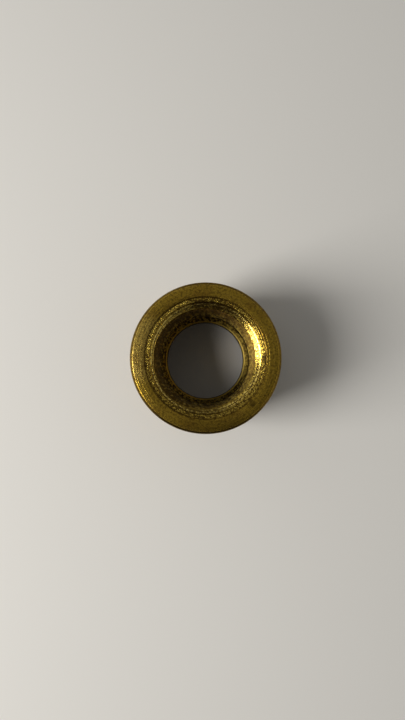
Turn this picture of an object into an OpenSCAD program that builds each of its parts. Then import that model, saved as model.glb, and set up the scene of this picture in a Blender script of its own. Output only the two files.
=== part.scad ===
// Thread adapter: a brass bush turned in one piece from round bar. A parallel pipe thread runs down
// its outside below a plain rim, and a smaller one runs down its bore to a narrow lip.
// The lower end stands on z = 0, the axis is Z and the face with the recessed mouth is on top.

/* [Body] */
// Height from the lower end to the face
body_h = 10; // [8:0.5:16]

/* [Threads] */
// Form of both threads: a ring groove for every turn, which leaves whole crests, or the true helix
thread_form = "rings"; // [rings, helix]

/* [Rim] */
// How far the plain rim stands out past the crests of the outer thread
rim_proud = 0.17; // [0.02:0.01:1.5]
// Height of the plain rim
rim_h = 1.8; // [1:0.1:3]
// Chamfer of the rim's upper edge, across and down
rim_chamfer = 0.3; // [0.1:0.05:0.4]

/* [Outer thread] */
// Basic diameter of the outer thread
outer_d = 13.157; // [12.9:0.001:14]
// How far the diameter over its crests lies under the basic one
outer_allowance = 0.24; // [0:0.01:0.25]
// Pitch of the outer thread
outer_pitch = 1.337; // [0.8:0.001:1.5]
// Width of the run-out groove between the outer thread and the rim
relief_w = 1; // [0.6:0.1:1.6]
// Depth of the run-out groove below the root of the outer thread
relief_clearance = 0.07; // [0.03:0.01:0.2]
// Depth of the lead chamfer below the root of the outer thread
lead_clearance = 0.12; // [0.05:0.01:0.3]

/* [Inner thread] */
// Basic diameter over the crests of the inner thread
inner_d = 8.566; // [7.8:0.001:8.8]
// How far the drilled bore is over the basic diameter
drill_allowance = 0.234; // [0:0.001:0.28]
// Pitch of the inner thread
inner_pitch = 0.907; // [0.5:0.001:1]
// Height left with no groove between the lip's cone and the foot of the inner thread
tap_clearance = 0.65; // [0.5:0.01:1.5]

/* [Mouth] */
// How far the edge of the recess round the mouth stands out past the root of the inner thread
mouth_clearance = 0.46; // [0.2:0.02:0.6]
// Depth of that recess below the face
mouth_depth = 0.12; // [0.05:0.01:0.3]
// How far the counterbore in the recess stands out past the same root
counterbore_clearance = 0.06; // [0.02:0.01:0.15]
// Depth of the counterbore's foot below the face
counterbore_depth = 0.7; // [0.65:0.05:1.5]

/* [Lip] */
// How far the lip at the lower end stands in from the bore
lip_w = 0.48; // [0.1:0.01:1]
// Height of the lip, up to the foot of its cone
lip_h = 1.2; // [0.8:0.1:2]
// Chamfer of the lip's lower edge
lip_chamfer = 0.15; // [0.05:0.05:0.3]

/* [Hidden] */

// Straight steps in one turn of a helical groove, and facets of a turned surface
groove_steps = 36;
turned_steps = 96;
// Whitworth form, in pitches: depth, flat at root and crest, and half the angle between the flanks
thread_depth = 0.6403;
thread_flat = 1 / 6;
flank_angle = 27.5;
// How far a groove's cutter stands out past the basic crest, in pitches
cutter_proud = 0.1;
// Half the point angles of the drill that leaves the cone on top of the lip, and of the countersink
drill_angle = 59;
countersink_angle = 60;
// Turns over which the inner groove grows shallow at its lower end
fade_turns = 1.5;
// Height left between the end of the outer groove's cutter and the underside of the rim
die_clearance = 0.03;

outer_basic_r = outer_d / 2;
outer_r = outer_basic_r - outer_allowance / 2;
rim_r = outer_r + rim_proud;
outer_root_r = outer_basic_r - thread_depth * outer_pitch;
relief_r = outer_root_r - relief_clearance;
lead_r = outer_root_r - lead_clearance;
inner_basic_r = inner_d / 2;
inner_r = inner_basic_r + drill_allowance / 2;
inner_root_r = inner_basic_r + thread_depth * inner_pitch;
mouth_r = inner_root_r + mouth_clearance;
counterbore_r = inner_root_r + counterbore_clearance;
lip_r = inner_r - lip_w;

rim_z = body_h - rim_h;
relief_z = rim_z - relief_w;
mouth_z = body_h - mouth_depth;
counterbore_z = body_h - counterbore_depth;
countersink_z = counterbore_z - (counterbore_r - inner_r) / tan(countersink_angle);
lip_cone_z = lip_h + lip_w / tan(drill_angle);
tap_end_z = lip_cone_z + tap_clearance;

// Section of the turned blank: up the outside, then down the bore
blank_section = [
    [lip_r + lip_chamfer, 0],
    [lead_r, 0],
    [outer_r, outer_r - lead_r],
    [outer_r, relief_z - (outer_r - relief_r)],
    [relief_r, relief_z],
    [relief_r, rim_z],
    [rim_r, rim_z],
    [rim_r, body_h - rim_chamfer],
    [rim_r - rim_chamfer, body_h],
    [mouth_r, body_h],
    [mouth_r, mouth_z],
    [counterbore_r, mouth_z],
    [counterbore_r, counterbore_z],
    [inner_r, countersink_z],
    [inner_r, lip_cone_z],
    [lip_r, lip_h],
    [lip_r, lip_chamfer]
];

// Half the height of a groove's cutter on its open side
function cutter_half(pitch) = (thread_flat / 2 + (thread_depth + cutter_proud) * tan(flank_angle)) * pitch;

// One section of a groove's cutter, as [radius, height] pairs round a trapezium.
// way is 1 for a groove cut outwards from a bore and -1 for one cut inwards from a shaft.
function cutter_section(basic_r, pitch, way, lift) =
    let (
        root = basic_r + way * (thread_depth * pitch - lift),
        proud = basic_r - way * (cutter_proud * pitch + lift),
        half_root = thread_flat * pitch / 2,
        half_proud = cutter_half(pitch)
    )
    way > 0
        ? [[proud, -half_proud], [root, -half_root], [root, half_root], [proud, half_proud]]
        : [[root, -half_root], [proud, -half_proud], [proud, half_proud], [root, half_root]];

// How far the cutter is drawn back into the open at a point this many turns above its lower end
function drawn_back(turns, fade, pitch) =
    fade == 0 ? 0 : max(0, 1 - turns / fade) * (thread_depth + cutter_proud / 2) * pitch;

// A ring for each turn of the groove between low_z and high_z, where the helix crosses the X axis
module ring_grooves(basic_r, pitch, way, low_z, high_z, fade = 0) {
    for (turn = [0 : floor((high_z - low_z) / pitch)])
        translate([0, 0, low_z + pitch * turn])
            rotate_extrude($fn = turned_steps)
                polygon(cutter_section(basic_r, pitch, way, drawn_back(turn, fade, pitch)));
}

// The cutter of a right-hand groove that climbs from low_z to high_z
module helical_groove(basic_r, pitch, way, low_z, high_z, fade = 0) {
    steps = floor((high_z - low_z) / pitch * groove_steps);
    points = [
        for (i = [0 : steps])
            let (turns = i / groove_steps, lift = drawn_back(turns, fade, pitch))
            for (p = cutter_section(basic_r, pitch, way, lift))
                [p[0] * cos(360 * turns), p[0] * sin(360 * turns), low_z + pitch * turns + p[1]]
    ];
    sides = [
        for (i = [0 : steps - 1])
            for (k = [0 : 3])
                let (a = 4 * i + k, b = 4 * i + (k + 1) % 4)
                for (f = [[a, b, b + 4], [a, b + 4, a + 4]])
                    f
    ];
    last = 4 * steps;
    ends = [[3, 2, 1, 0], [last, last + 1, last + 2, last + 3]];
    polyhedron(points = points, faces = concat(sides, ends));
}

module thread_groove(basic_r, pitch, way, low_z, high_z, fade = 0) {
    if (thread_form == "helix")
        helical_groove(basic_r, pitch, way, low_z, high_z, fade);
    else
        ring_grooves(basic_r, pitch, way, low_z, high_z, fade);
}

module blank() {
    rotate_extrude($fn = turned_steps) polygon(blank_section);
}

// The outer groove leaves the metal through the lead chamfer below and the run-out groove above
module outer_groove() {
    highest = rim_z - die_clearance - cutter_half(outer_pitch);
    thread_groove(outer_basic_r, outer_pitch, -1, -outer_pitch, highest);
}

// The inner groove enters through the counterbore and fades out above the lip
module inner_groove() {
    thread_groove(inner_basic_r, inner_pitch, 1, tap_end_z, body_h + inner_pitch, fade_turns);
}

module adapter() {
    color("darkgoldenrod")
    difference() {
        blank();
        outer_groove();
        inner_groove();
    }
}

adapter();
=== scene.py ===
from math import acos, atan2, cos, pi, radians, sin, tan

import bpy
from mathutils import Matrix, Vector


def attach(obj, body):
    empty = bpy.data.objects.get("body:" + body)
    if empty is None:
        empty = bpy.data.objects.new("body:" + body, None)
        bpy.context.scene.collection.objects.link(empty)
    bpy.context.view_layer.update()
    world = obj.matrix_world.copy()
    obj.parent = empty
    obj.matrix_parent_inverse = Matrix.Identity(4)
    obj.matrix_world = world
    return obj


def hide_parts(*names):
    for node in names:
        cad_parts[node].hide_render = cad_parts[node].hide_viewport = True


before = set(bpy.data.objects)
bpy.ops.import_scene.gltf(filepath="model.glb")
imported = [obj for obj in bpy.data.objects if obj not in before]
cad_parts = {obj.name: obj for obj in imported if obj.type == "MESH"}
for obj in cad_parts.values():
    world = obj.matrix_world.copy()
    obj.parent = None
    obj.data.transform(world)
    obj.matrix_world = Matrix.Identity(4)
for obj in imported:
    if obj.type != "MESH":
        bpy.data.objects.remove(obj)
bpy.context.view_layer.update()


# --- Camera ---
# A phone camera held 57 mm above the table, looking almost straight down on the adapter.
# Its wide lens spreads the walls of the bore out below the mouth.
CAMERA_PLACE = (-0.00021, -0.00139, 0.057)
CAMERA_TILT, CAMERA_LEAN = radians(1.47), radians(0.08)
SENSOR_MM, LENS_MM = 36, 27.05

bpy.ops.object.camera_add(location=CAMERA_PLACE, rotation=(CAMERA_TILT, CAMERA_LEAN, 0))
camera = bpy.context.object
camera.name = "camera"
camera.data.sensor_fit = "VERTICAL"
camera.data.sensor_height = SENSOR_MM
camera.data.lens = LENS_MM
camera.data.clip_start = 0.001
camera.data.clip_end = 10
bpy.context.scene.camera = camera


# --- Floor ---
# The plain pale table top that the adapter stands on.
# It is matt, and it keeps the adapter's shadow.
FLOOR_SIZE = 1.2
PALE_PAINT, PAINT_ROUGHNESS, PAINT_SPECULAR = (0.70, 0.685, 0.65, 1), 0.9, 0.2

bpy.ops.object.select_all(action="DESELECT")
bpy.ops.mesh.primitive_plane_add(size=FLOOR_SIZE, location=(0, 0, 0))
floor = bpy.context.object
floor.name = "floor"
floor_paint = bpy.data.materials.new("pale_table")
floor_paint.use_nodes = True
floor_shader = floor_paint.node_tree.nodes["Principled BSDF"]
floor_shader.inputs["Base Color"].default_value = PALE_PAINT
floor_shader.inputs["Roughness"].default_value = PAINT_ROUGHNESS
floor_shader.inputs["Specular IOR Level"].default_value = PAINT_SPECULAR
floor.data.materials.append(floor_paint)


# --- Light ---
# A window low on the left, and a grey room: dark overhead and on the near side, paler at its other walls.
# Together they light the pale floor to about its own colour.
class Wire:
    """An output of a shader node that sums and products can be written with."""

    def __init__(self, tree, socket=None):
        self.tree, self.socket = tree, socket

    def node(self, kind, settings, values, output=0):
        made = self.tree.nodes.new(kind)
        for name, value in settings.items():
            setattr(made, name, value)
        for name, value in values.items():
            if isinstance(value, Wire):
                self.tree.links.new(value.socket, made.inputs[name])
            else:
                made.inputs[name].default_value = value
        return Wire(self.tree, made.outputs[output] if made.outputs else None)

    def beside(self, output):
        """Another output of the same node."""
        return Wire(self.tree, self.socket.node.outputs[output])

    def maths(self, operation, *others):
        return self.node("ShaderNodeMath", {"operation": operation}, dict(enumerate((self, *others))))

    def __add__(self, other):
        return self.maths("ADD", other)

    def __sub__(self, other):
        return self.maths("SUBTRACT", other)

    def __mul__(self, other):
        return self.maths("MULTIPLY", other)

    __radd__, __rmul__ = __add__, __mul__

    def __rsub__(self, other):
        return self * -1 + other

    def step(self, low, high):
        """0 below low, 1 above high and a smooth rise between them."""
        names = {"Value": self, "From Min": low, "From Max": high}
        return self.node("ShaderNodeMapRange", {"interpolation_type": "SMOOTHSTEP"}, names)

    def band(self, low, high, soft):
        """1 between low and high, falling to 0 over the soft width outside them."""
        return self.step(low - soft, low) * (1 - self.step(high, high + soft))

    def blend(self, first, second):
        """The first colour where this is 0 and the second where it is 1."""
        return self.node("ShaderNodeMix", {"data_type": "RGBA"}, {"Factor": self, 6: first, 7: second}, 2)


LAMP_WIDTH, LAMP_HEIGHT, LAMP_RADIANCE = 0.085, 0.160, 10.5
LAMP_TURN, LAMP_LIFT, LAMP_DISTANCE = radians(192.5), radians(38), 0.20
LAMP_COLOUR = (1, 0.98, 0.95)

lamp_side = Vector((cos(LAMP_LIFT) * cos(LAMP_TURN), cos(LAMP_LIFT) * sin(LAMP_TURN), sin(LAMP_LIFT)))
bpy.ops.object.light_add(type="AREA", location=lamp_side * LAMP_DISTANCE)
lamp = bpy.context.object
lamp.name = "window_lamp"
lamp.rotation_euler = (-lamp_side).to_track_quat("-Z", "Y").to_euler()
lamp.data.shape = "RECTANGLE"
lamp.data.size, lamp.data.size_y = LAMP_WIDTH, LAMP_HEIGHT
lamp.data.energy = LAMP_RADIANCE * pi * LAMP_WIDTH * LAMP_HEIGHT
lamp.data.color = LAMP_COLOUR
lamp.visible_camera = False

# How bright the room is in each direction
CEILING, CEILING_FAR, CEILING_LEFT = 0.038, 0.155, 0.10
NEAR_WALL, FAR_WALL, LEFT_WALL, RIGHT_WALL = 0.04, 0.20, 0.30, 0.16
BLACK, WARM_GREY = (0, 0, 0, 1), (1, 0.99, 0.96, 1)

room = bpy.data.worlds.new("grey_room")
room.use_nodes = True
room.node_tree.nodes.clear()
toward = Wire(room.node_tree).node("ShaderNodeTexCoord", {}, {}, "Generated")
east = toward.node("ShaderNodeSeparateXYZ", {}, {0: toward}, "X")
north, up = east.beside("Y"), east.beside("Z")
overhead = up.step(0.60, 0.95)
ceiling = CEILING + north.step(-0.20, 0.20) * CEILING_FAR
ceiling = ceiling + (1 - east.step(-0.25, 0.05)) * CEILING_LEFT
walls = NEAR_WALL + north.step(-0.90, -0.45) * FAR_WALL
walls = walls + (north * 0.5 - east * 0.87).step(0.65, 0.85) * LEFT_WALL
walls = walls + east.step(0.6, 0.85) * RIGHT_WALL
level = overhead * ceiling + (1 - overhead) * walls
backdrop = toward.node("ShaderNodeBackground", {}, {"Color": level.blend(BLACK, WARM_GREY)})
toward.node("ShaderNodeOutputWorld", {}, {"Surface": backdrop})
bpy.context.scene.world = room


# --- Adapter ---
# One piece of brass, turned from round bar, with a plain rim, a countersunk mouth and a lip under the bore.
# A die cuts the outside thread up to the groove under the rim, and a tap cuts the one in the bore.
# It is drawn in millimetres, and brought to metres once it is cut.
TURN_STEPS, ARC_PARTS = 144, 4
SHARP_EDGE = radians(24)

# Where the threads start, in millimetres, and how many turns the tools make
OUTER_BASIC_R, OUTER_PITCH, DIE_TURNS = 6.5785, 1.337, 6.625
INNER_BASIC_R, INNER_PITCH, TAP_TURNS, TAP_LOW_Z = 4.283, 0.907, 9, 2.138

# The form of both threads and of the tool that cuts them, as shares of the pitch, and two angles
THREAD_DEPTH, THREAD_ROUND, FLANK = 0.640327, 0.137329, radians(27.5)
TOOL_HALF_WIDTH, TOOL_CLEARANCE, CREST_START = 0.485, 0.1, 0.1094

# Points closer than this, in millimetres, are one point
SAME_POINT, SAME_POINT_CUT = 0.0005, 0.0002

# Corners of the section as radius, height and radius of the small round on the corner
SECTION = [
    (4.070, 0.000, 0.03), (5.602, 0.000, 0.05), (6.4585, 0.8565, 0.05), (6.4585, 6.3935, 0.04),
    (5.652, 7.200, 0.10), (5.652, 8.200, 0.08), (6.6285, 8.200, 0.06), (6.6285, 9.797, 0.05),
    (6.3785, 10.000, 0.07), (5.324, 10.000, 0.03), (5.324, 9.880, 0.02), (4.924, 9.880, 0.10),
    (4.924, 9.300, 0.04), (4.640, 9.160, 0.05), (4.600, 9.100, 0.02), (4.400, 8.9976, 0.07),
    (4.400, 1.4884, 0.05), (3.920, 1.200, 0.06), (3.920, 0.150, 0.03),
]
# The tap tapers over its first turn and a half, so the thread fades out above the lip
TAP_TAPER = [(0.5, 1.3, 0.01), (4.30, 1.7, 0.01), (4.92, 3.5, 0.01), (5.4, 12, 0.01), (0.5, 12, 0.01)]


def rounded(corners):
    """The corners of a closed outline, each turned into a small arc."""
    points = []
    for i, (x, y, radius) in enumerate(corners):
        here = Vector((x, y))
        back = Vector(corners[i - 1][:2]) - here
        on = Vector(corners[(i + 1) % len(corners)][:2]) - here
        back.normalize()
        on.normalize()
        half = acos(max(-1, min(1, back.dot(on)))) / 2
        centre = here + (back + on).normalized() * (radius / sin(half))
        first = here + back * (radius / tan(half)) - centre
        last = here + on * (radius / tan(half)) - centre
        start = atan2(first.y, first.x)
        sweep = (atan2(last.y, last.x) - start + pi) % (2 * pi) - pi
        for k in range(ARC_PARTS + 1):
            angle = start + sweep * k / ARC_PARTS
            points.append(centre + Vector((cos(angle), sin(angle))) * radius)
    return points


def drawn_outline(name, points):
    """A closed outline in the XZ plane, drawn from point to point, left in edit mode."""
    bpy.ops.object.select_all(action="DESELECT")
    bpy.ops.mesh.primitive_plane_add(size=1, location=(0, 0, 0))
    bpy.context.object.name = name
    bpy.ops.object.mode_set(mode="EDIT")
    bpy.ops.mesh.select_all(action="SELECT")
    bpy.ops.mesh.merge(type="CENTER")
    bpy.ops.transform.translate(value=(points[0][0], 0, points[0][1]))
    for here, there in zip(points, points[1:] + points[:1]):
        step = (there[0] - here[0], 0, there[1] - here[1])
        bpy.ops.mesh.extrude_vertices_move(TRANSFORM_OT_translate={"value": step})
    bpy.ops.mesh.select_all(action="SELECT")
    bpy.ops.mesh.remove_doubles(threshold=SAME_POINT)
    return bpy.context.object


def turned(name, corners):
    """A solid of revolution about Z from the corners of its section."""
    piece = drawn_outline(name, rounded(corners))
    bpy.ops.mesh.select_all(action="SELECT")
    bpy.ops.mesh.spin(steps=TURN_STEPS, angle=2 * pi, center=(0, 0, 0), axis=(0, 0, 1))
    bpy.ops.mesh.select_all(action="SELECT")
    bpy.ops.mesh.remove_doubles(threshold=SAME_POINT)
    bpy.ops.mesh.normals_make_consistent(inside=False)
    bpy.ops.object.mode_set(mode="OBJECT")
    return piece


def groove(name, basic_r, pitch, way, low_z, turns):
    """The solid that a threading tool sweeps: way is 1 outwards from a bore, -1 into a shaft."""
    reach = pi / 2 - FLANK
    half = [(pitch * TOOL_HALF_WIDTH, -TOOL_CLEARANCE * pitch)]
    for k in range(ARC_PARTS + 1):
        a = CREST_START + (reach - CREST_START) * k / ARC_PARTS
        half.append((pitch * (0.5 - THREAD_ROUND * sin(a)), pitch * THREAD_ROUND * (1 - cos(a))))
    for k in range(ARC_PARTS + 1):
        a = reach * (1 - k / ARC_PARTS)
        half.append((pitch * THREAD_ROUND * sin(a), pitch * (THREAD_DEPTH - THREAD_ROUND * (1 - cos(a)))))
    section = [(basic_r + way * depth, low_z + width) for width, depth in half]
    section += [(basic_r + way * depth, low_z - width) for width, depth in half[-2::-1]]
    cutter = drawn_outline(name, section)
    bpy.ops.object.mode_set(mode="OBJECT")
    bpy.ops.object.modifier_add(type="SCREW")
    sweep = cutter.modifiers[-1]
    sweep.angle = 2 * pi * turns
    sweep.screw_offset = pitch * turns
    sweep.steps = sweep.render_steps = round(TURN_STEPS * turns)
    bpy.ops.object.modifier_apply(modifier=sweep.name)
    bpy.ops.object.mode_set(mode="EDIT")
    bpy.ops.mesh.select_all(action="SELECT")
    bpy.ops.mesh.fill_holes(sides=0)
    bpy.ops.mesh.select_all(action="SELECT")
    bpy.ops.mesh.normals_make_consistent(inside=False)
    bpy.ops.object.mode_set(mode="OBJECT")
    return cutter


def cut(piece, tool, operation):
    """Cuts the piece with the tool and throws the tool away."""
    bpy.ops.object.select_all(action="DESELECT")
    piece.select_set(True)
    bpy.context.view_layer.objects.active = piece
    bpy.ops.object.modifier_add(type="BOOLEAN")
    change = piece.modifiers[-1]
    change.operation = operation
    change.solver = "EXACT"
    change.object = tool
    bpy.ops.object.modifier_apply(modifier=change.name)
    bpy.data.objects.remove(tool)


adapter = turned("turned_adapter", SECTION)

cut(adapter, groove("die", OUTER_BASIC_R, OUTER_PITCH, -1, -OUTER_PITCH, DIE_TURNS), "DIFFERENCE")

tap = groove("tap", INNER_BASIC_R, INNER_PITCH, 1, TAP_LOW_Z, TAP_TURNS)
cut(tap, turned("tap_taper", TAP_TAPER), "INTERSECT")
cut(adapter, tap, "DIFFERENCE")

bpy.ops.object.select_all(action="DESELECT")
adapter.select_set(True)
bpy.context.view_layer.objects.active = adapter
bpy.ops.object.mode_set(mode="EDIT")
bpy.ops.mesh.select_all(action="SELECT")
bpy.ops.mesh.remove_doubles(threshold=SAME_POINT_CUT)
bpy.ops.transform.resize(value=(0.001, 0.001, 0.001), center_override=(0, 0, 0))
bpy.ops.object.mode_set(mode="OBJECT")
bpy.ops.object.shade_smooth_by_angle(angle=SHARP_EDGE)


# The brass from dull to clean, with a painted sheen, painted highlights and painted shade on it, and the
# tarnish, stains and grime on it
DULL_BRASS, CLEAN_BRASS = (0.54, 0.345, 0.038, 1), (0.66, 0.44, 0.07, 1)
LEFT_SHEEN_BRASS, HIGHLIGHT_LINE_BRASS = (0.86, 0.60, 0.14, 1), (0.98, 0.74, 0.22, 1)
MOUTH_BRASS, LIP_HIGHLIGHT_BRASS = (0.52, 0.35, 0.06, 1), (0.80, 0.58, 0.13, 1)
BEAD_GLINT_BRASS, BEAD_GAP = (0.84, 0.60, 0.11, 1), (0.12, 0.07, 0.015, 1)
BORE_TOP, BORE_FOOT_REFLECTION = (0.20, 0.115, 0.025, 1), (0.62, 0.44, 0.09, 1)
BORE_RIGHT, BORE_NEAR = (0.16, 0.115, 0.022, 1), (0.72, 0.56, 0.14, 1)
REDDISH_STAIN, BROWN_PATCH = (0.40, 0.17, 0.025, 1), (0.34, 0.18, 0.028, 1)
DARK_SPECK, GRIME_AND_SHADE, SOOT_AND_SHADE = (0.17, 0.10, 0.016, 1), (0.08, 0.045, 0.010, 1), (0.045, 0.025, 0.008, 1)
BUMP_METRES = 0.00001

brass = bpy.data.materials.new("aged_brass")
brass.use_nodes = True
brass.node_tree.nodes.clear()
place = Wire(brass.node_tree).node("ShaderNodeTexCoord", {}, {}, "Object")
mm = place.node("ShaderNodeVectorMath", {"operation": "SCALE"}, {0: place, "Scale": 1000})
x = mm.node("ShaderNodeSeparateXYZ", {}, {0: mm}, "X")
y, z = x.beside("Y"), x.beside("Z")
r = (x * x + y * y).maths("SQRT")


def noise(vector, scale, detail, roughness):
    names = {"Vector": vector, "Scale": scale, "Detail": detail, "Roughness": roughness}
    return vector.node("ShaderNodeTexNoise", {}, names)


def spot(at_x, at_y, size):
    """1 at a point of the top, falling to 0 at the size in millimetres."""
    away = ((x - at_x) * (x - at_x) + (y - at_y) * (y - at_y)).maths("SQRT")
    return 1 - away.step(size * 0.5, size)


def strongest(first, *others):
    """The highest of some masks at each place."""
    for mask in others:
        first = first.maths("MAXIMUM", mask)
    return first


# Turning marks: rings that follow the radius on flat faces and the height on walls
rings = r.node("ShaderNodeCombineXYZ", {}, {"X": r, "Y": z, "Z": x * 0.02})
marks, bands = noise(rings, 14, 3, 0.6), noise(rings, 4, 2, 0.5)

# Tarnish in patches a millimetre or two wide, specks of grime a fifth of that, and pits smaller still
patches, specks, pits = noise(mm, 0.6, 4, 0.6), noise(mm, 5, 3, 0.7), noise(mm, 9, 2, 0.6)

# Beads left by a chattering tool round the mouth, the bright ones painted glints, more of them at the upper
# left and fewer at the top and lower left
glint_spot = spot(-4.0, 3.2, 4.0)
beads = noise(mm, 6.5, 2, 0.7) + glint_spot * 0.05
beads = beads - spot(0.8, 5.0, 2.6) * 0.05 - spot(-2.4, -4.6, 3.4) * 0.04

# Streaks down the bore, made darker on the left by painted shade
down = r.node("ShaderNodeCombineXYZ", {}, {"X": x, "Y": y, "Z": z * 0.15})
bore_streaks_and_shade = noise(down, 4, 3, 0.7) - (1 - x.step(-3, 1)) * z.step(1.4, 3) * 0.05

# Parts of the adapter, found by radius and height in millimetres
in_bore = (1 - r.step(4.9, 5.0)) * (1 - z.step(8.85, 9.0))
lip_highlight = r.band(3.95, 4.06, 0.02) * z.band(1.19, 1.35, 0.03)
trough = in_bore * r.step(4.42, 4.75)
die_cut = (1 - r.step(5.75, 6.4)) * r.step(5.0, 5.4) * (1 - z.step(8.1, 8.2)) * z.step(0, 0.3)
lip_wall_shade = (1 - r.step(3.93, 3.95)) * z.step(0.1, 0.2)
in_mouth = z.step(8.9, 9.0)
mouth = r.band(4.38, 4.90, 0.04) * in_mouth
rim_corner = r.step(6.38, 6.42) * z.step(9.5, 9.8)
ledge = r.band(4.86, 5.30, 0.02) * z.step(9.75, 9.85)
turned_in = strongest(mouth, ledge)

# Lines round the mouth, painted highlight lines and a line of painted shade at the step among them, grime
# and painted shade in the bore, painted shade on the lip wall, and a chip beside the ledge
step_shade_line = r.band(5.27, 5.38, 0.06) * z.step(9.8, 9.85) * specks.step(0.3, 0.5)
tool_line = r.band(4.71, 4.74, 0.02) * in_mouth
highlight_lines = (r.band(4.79, 4.85, 0.02) + r.band(4.58, 4.64, 0.02)) * in_mouth
bore_grime_and_shade = in_bore * (1 - bore_streaks_and_shade.step(0.42, 0.54)) * z.step(1.5, 3.0)
chip = spot(5.06, -0.05, 0.4) * r.band(4.93, 5.22, 0.03)

colour = marks.step(0.45, 0.7).blend(DULL_BRASS, CLEAN_BRASS)
# Painted sheen: the left of the top face is painted lighter, where the window's light falls on it.
colour = (spot(-5.6, 0.9, 3.6) * z.step(9.9, 9.95) * 0.8).blend(colour, LEFT_SHEEN_BRASS)
colour = (mouth * 0.6).blend(colour, MOUTH_BRASS)
colour = (spot(0.4, 4.9, 2.4) * (1 - r.step(4.9, 5.0)) * 0.6).blend(colour, REDDISH_STAIN)
colour = (patches.step(0.47, 0.66) * 0.5).blend(colour, BROWN_PATCH)
colour = (specks.step(0.44, 0.64) * 0.8).blend(colour, DARK_SPECK)
colour = (turned_in * beads.step(0.51, 0.56) * 0.8).blend(colour, BEAD_GLINT_BRASS)
# Painted highlight: bright lines round the mouth, broken up by the specks.
colour = (highlight_lines * specks.step(0.40, 0.52)).blend(colour, HIGHLIGHT_LINE_BRASS)
colour = (turned_in * (1 - beads.step(0.45, 0.50)) * 0.9).blend(colour, BEAD_GAP)

# Painted light and shade in the bore: lighter towards its foot, a painted reflection of the lit floor, and
# also darker on the right and lighter on the near side.
lit_bore = (1 - z.step(2, 7)).blend(BORE_TOP, BORE_FOOT_REFLECTION)
lit_bore = (x.step(1, 4) * 0.6).blend(lit_bore, BORE_RIGHT)
lit_bore = ((1 - y.step(-4, -1)) * 0.25).blend(lit_bore, BORE_NEAR)
bore_colour = bore_streaks_and_shade.step(0.42, 0.60).blend(SOOT_AND_SHADE, lit_bore)
# Painted highlight: a bright golden line on the lip.
bore_colour = (lip_highlight * 0.9).blend(bore_colour, LIP_HIGHLIGHT_BRASS)
colour = (in_bore * 0.9).blend(colour, bore_colour)

# Grime, a chip and a scuff, and painted shade: the step line, the lip wall, the rim's outer corner, the
# wide spot at the bottom of the top face and the left of the bore are darkened as painted shade.
grime_and_shade = strongest(
    trough * 0.35, die_cut * 0.7, rim_corner * 0.65, tool_line * 0.8, step_shade_line * 0.7, lip_wall_shade * 0.9,
    ledge * 0.1, chip * 0.9, bore_grime_and_shade * 0.95, spot(4.05, -3.95, 0.4) * 0.6, spot(0.6, -6.2, 3.4) * 0.35,
)
colour = grime_and_shade.blend(colour, GRIME_AND_SHADE)

rough = 0.15 + patches * 0.08 + specks * 0.10 + in_bore * 0.22 - rim_corner * 0.08 - mouth * 0.1
height = marks * (1.8 + turned_in * 0.9 - rim_corner * 1.3) + bands * 0.4 + specks * 0.4
height = height + pits * (0.28 + turned_in + turned_in * glint_spot * 2.5)
bump = r.node("ShaderNodeBump", {}, {"Strength": 1, "Distance": BUMP_METRES, "Height": height})
surface = {"Base Color": colour, "Metallic": 1.0, "Roughness": rough, "Normal": bump}
shader = r.node("ShaderNodeBsdfPrincipled", {}, surface)
r.node("ShaderNodeOutputMaterial", {}, {"Surface": shader})
adapter.data.materials.clear()
adapter.data.materials.append(brass)

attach(adapter, "root")
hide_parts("adapter")


# --- Close ---
bpy.context.scene.view_settings.view_transform = "Standard"
